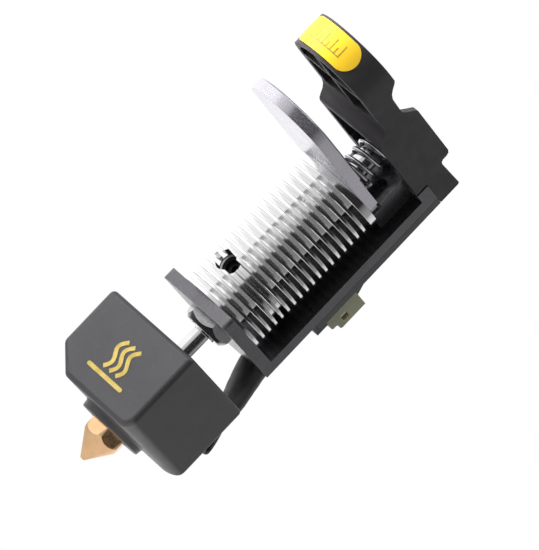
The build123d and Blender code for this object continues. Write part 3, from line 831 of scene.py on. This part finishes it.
def make_spring():
    """Round wire with closed ends."""
    bottom = SPRING_SEAT + WIRE_RADIUS
    top = 72.84
    dead_pitch = 2 * WIRE_RADIUS + 0.03
    open_rise = (top - bottom) - 2 * DEAD_TURNS * dead_pitch
    path = []
    for i in range(int(SPRING_TURNS * SPRING_STEPS) + 1):
        t = i / SPRING_STEPS
        if t < DEAD_TURNS:
            z = bottom + dead_pitch * t
        elif t > SPRING_TURNS - DEAD_TURNS:
            z = top - dead_pitch * (SPRING_TURNS - t)
        else:
            open_part = (t - DEAD_TURNS) / (SPRING_TURNS - 2 * DEAD_TURNS)
            z = bottom + DEAD_TURNS * dead_pitch + open_rise * open_part
        angle = 2 * math.pi * t - SPRING_START
        path.append(Vector((SPRING_RADIUS * math.cos(angle), SPRING_RADIUS * math.sin(angle), z)))
    coil = tube("spring_wire", path, lambda t: WIRE_RADIUS, 18, side=Vector((0, 0, 1)))
    finish_piece(coil, "latch_spring", HOT, sharp=60, weighted=False)
    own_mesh(coil)


make_spring()

# ------------------------------------------------------------------ cable sleeve
sleeve = tube("soft_sleeve", spline(SLEEVE_LINE), sleeve_radius, 48)
finish_piece(sleeve, "cable_sleeve", HOT, sharp=50, weighted=False)


# ------------------------------------------------------------------ lever label
def make_label():
    """Curved film with rounded ends, as an outer and an inner sheet joined top and bottom."""
    rows, end_steps, flat_steps = 8, 16, 60
    ends = [LABEL_FLAT + LABEL_END * math.cos(math.pi / 2 * k / end_steps)
            for k in range(end_steps)]
    stations = [-x for x in ends]
    stations += [-LABEL_FLAT + 2 * LABEL_FLAT * k / flat_steps for k in range(flat_steps + 1)]
    stations += ends[::-1]
    sheet = []
    for x in stations:
        half = LABEL_HALF_HEIGHT
        if abs(x) > LABEL_FLAT:
            reach = (abs(x) - LABEL_FLAT) / LABEL_END
            half = max(0.02, half * math.sqrt(max(0.0, 1 - reach ** 2)))
        sheet += [(x, LABEL_Z - half + 2 * half * j / rows) for j in range(rows + 1)]
    verts = []
    for radius in (LABEL_RADIUS, LEVER_RADIUS + 0.01):
        for x, z in sheet:
            sx = x * radius / LABEL_RADIUS
            verts.append((sx, LEVER_AXIS_Y - math.sqrt(radius ** 2 - sx ** 2), z))
    column, inner = rows + 1, len(sheet)
    faces = []
    for i in range(len(stations) - 1):
        for j in range(rows):
            a, b = i * column + j, (i + 1) * column + j
            quad = (a, b, b + 1, a + 1)
            faces.append(quad)
            faces.append(tuple(v + inner for v in reversed(quad)))
        for j in (0, rows):
            a, b = i * column + j, (i + 1) * column + j
            faces.append((a, b, b + inner, a + inner))
    finish_piece(mesh_object("label_film", verts, faces), "lever_label", LEVER, sharp=40,
                 weighted=False)


make_label()

# ------------------------------------------------------------------ camera
CAMERA_AT = place(519.09, -728.79, -18.47)
CAMERA_TURN = math.radians(35.36)       # heading, from +Y towards -X
CAMERA_TILT = math.radians(3.934854)    # upwards
CAMERA_ROLL = math.radians(43.5)
# level directions seen from the camera
AHEAD = Vector((-math.sin(CAMERA_TURN), math.cos(CAMERA_TURN), 0))
RIGHT = Vector((math.cos(CAMERA_TURN), math.sin(CAMERA_TURN), 0))


def make_camera():
    cos, sin = math.cos(CAMERA_TILT), math.sin(CAMERA_TILT)
    forward = AHEAD * cos + Vector((0, 0, sin))
    up = -AHEAD * sin + Vector((0, 0, cos))
    camera_x = RIGHT * math.cos(CAMERA_ROLL) + up * math.sin(CAMERA_ROLL)
    camera_y = -RIGHT * math.sin(CAMERA_ROLL) + up * math.cos(CAMERA_ROLL)
    data = bpy.data.cameras.new("camera")
    data.sensor_width = 36.0
    data.lens = 357.51273
    data.clip_start, data.clip_end = 0.01, 20
    camera = bpy.data.objects.new("camera", data)
    bpy.context.scene.collection.objects.link(camera)
    turn = Matrix((camera_x, camera_y, -forward)).transposed().to_4x4()
    camera.matrix_world = Matrix.Translation(CAMERA_AT) @ turn
    bpy.context.scene.camera = camera


make_camera()


# ------------------------------------------------------------------ floor
def floor_material():
    """Pale with a glow from above, clear from underneath."""
    m = Material("floor", Roughness=0.9, Emission_Color=(1, 1, 1, 1))
    rays = m.node("ShaderNodeLightPath").outputs
    pale = m.clouds(scale=30, detail=2, dark=(0.86, 0.86, 0.86), light=(0.89, 0.89, 0.89))
    # darker in bounced light and in reflections
    darken = m.math("ADD", m.product(rays["Is Diffuse Ray"], 0.75),
                    m.product(rays["Is Glossy Ray"], 0.82))
    m.to("Base Color", m.mix(darken, pale, (0.05, 0.05, 0.05)))
    # glow in a wedge beyond the object, and round its foot, more to the right
    flat = m.node("ShaderNodeVectorMath", operation="MULTIPLY")
    flat.inputs[1].default_value = (1, 1, 0)
    m.feed(flat.inputs[0], m.node("ShaderNodeNewGeometry").outputs["Position"])
    offset = flat.outputs[0]
    away = m.node("ShaderNodeVectorMath", operation="LENGTH")
    m.feed(away.inputs[0], offset)
    sideways = m.product(m.math("ABSOLUTE", m.dot(offset, RIGHT)), 1.3)
    wedge = m.math("SUBTRACT", m.dot(offset, AHEAD), sideways)
    beyond = m.range(wedge, (-0.02, 0.10), to=(0.20, 1.0))
    near = m.product(m.range(away.outputs["Value"], (0.022, 0.060), to=FALL),
                     m.range(m.dot(offset, RIGHT), (-0.010, 0.014), to=(0.40, 0.95)))
    glow = m.math("MAXIMUM", beyond, near)
    m.to("Emission Strength", m.product(glow, m.math("SUBTRACT", 1.0, rays["Is Diffuse Ray"])))
    clear = m.node("ShaderNodeBsdfTransparent")
    backfacing = m.node("ShaderNodeNewGeometry").outputs["Backfacing"]
    m.feed(m.output.inputs[0],
           m.mix_shaders(backfacing, m.shader.outputs[0], clear.outputs[0]))
    return m.data


def make_floor():
    half = 2
    z = CAD_BOX[0].z - 0.0004
    mesh = bpy.data.meshes.new("floor")
    corners = [(-half, -half, z), (half, -half, z), (half, half, z), (-half, half, z)]
    mesh.from_pydata(corners, [], [(0, 1, 2, 3)])
    floor = bpy.data.objects.new("floor", mesh)
    bpy.context.scene.collection.objects.link(floor)
    mesh.materials.append(floor_material())


make_floor()

# ------------------------------------------------------------------ lights
MIDDLE = place(0, -3, 40)


def toward(right, ahead, up=0.0):
    """Vector in the camera's level directions."""
    return RIGHT * right + AHEAD * ahead + Vector((0, 0, up))


def area_light(name, offset, width, height, power):
    """Rectangle aimed at the middle of the object; sizes in metres."""
    data = bpy.data.lights.new(name, "AREA")
    data.energy = power
    data.shape = "RECTANGLE"
    data.size = width
    data.size_y = height
    light = bpy.data.objects.new(name, data)
    bpy.context.scene.collection.objects.link(light)
    light.location = MIDDLE + offset
    light.rotation_mode = "QUATERNION"
    light.rotation_quaternion = (-offset).to_track_quat("-Z", "Y")
    return light


key = area_light("key", toward(-0.985, -0.17).normalized() * 0.55 + toward(0, 0, up=0.10),
                 width=0.42, height=0.60, power=11.0)
key.visible_glossy = False
area_light("top", toward(0, -0.1, up=0.6), width=0.5, height=0.5, power=1.0)
area_light("rear_right", toward(0.8, 0.55).normalized() * 0.55,
           width=0.3, height=0.5, power=0.12)
low = area_light("low_rear_right", toward(0.527, 0.623, up=-0.578).normalized() * 0.45,
                 width=0.26, height=0.26, power=0.15)
low.visible_camera = False

# ------------------------------------------------------------------ world
# brightness round the horizon: degrees (0 towards the camera, 90 to the right), value
HORIZON = [
    (-180, 1.10), (-150, 1.25), (-58, 1.40), (-45, 0.85), (-14, 0.66), (-8, 0.04), (20, 0.016),
    (66, 0.016), (76, 0.17), (90, 0.27), (112, 0.32), (140, 0.60), (165, 0.95), (180, 1.10),
]


def make_world():
    """White to the camera, a soft studio to everything else."""
    world = bpy.data.worlds.new("studio")
    bpy.context.scene.world = world
    world.use_nodes = True
    g = Graph(world.node_tree)
    direction = g.node("ShaderNodeTexCoord").outputs["Generated"]
    angle = g.math("ARCTAN2", g.dot(direction, RIGHT), g.product(g.dot(direction, AHEAD), -1))
    # every stop but the first is slightly blue
    stops = [(0.0, (HORIZON[0][1],) * 3)]
    stops += [((degrees + 180) / 360, (v, v, v * 1.01)) for degrees, v in HORIZON[1:]]
    around = g.ramp(g.range(angle, (-math.pi, math.pi)), stops)
    height = g.split(direction)[2]
    overhead = g.range(height, (0.25, 0.70), to=(1.0, 0.42))    # dimmer overhead
    lift = g.range(height, (0.14, 0.34), to=(0.0, 0.42))        # no dark gap above the horizon

    studio = g.node("ShaderNodeBackground")
    g.feed(studio.inputs[0], g.math("MAXIMUM", around, lift))
    g.feed(studio.inputs[1], overhead)
    white = g.node("ShaderNodeBackground")
    g.feed(white.inputs[0], (1, 1, 1))
    g.feed(white.inputs[1], 1.0)
    camera_ray = g.node("ShaderNodeLightPath").outputs["Is Camera Ray"]
    output = g.node("ShaderNodeOutputWorld")
    g.feed(output.inputs[0], g.mix_shaders(camera_ray, studio.outputs[0], white.outputs[0]))


make_world()
bpy.context.scene.view_settings.view_transform = "Standard"
bpy.context.scene.view_settings.look = "None"
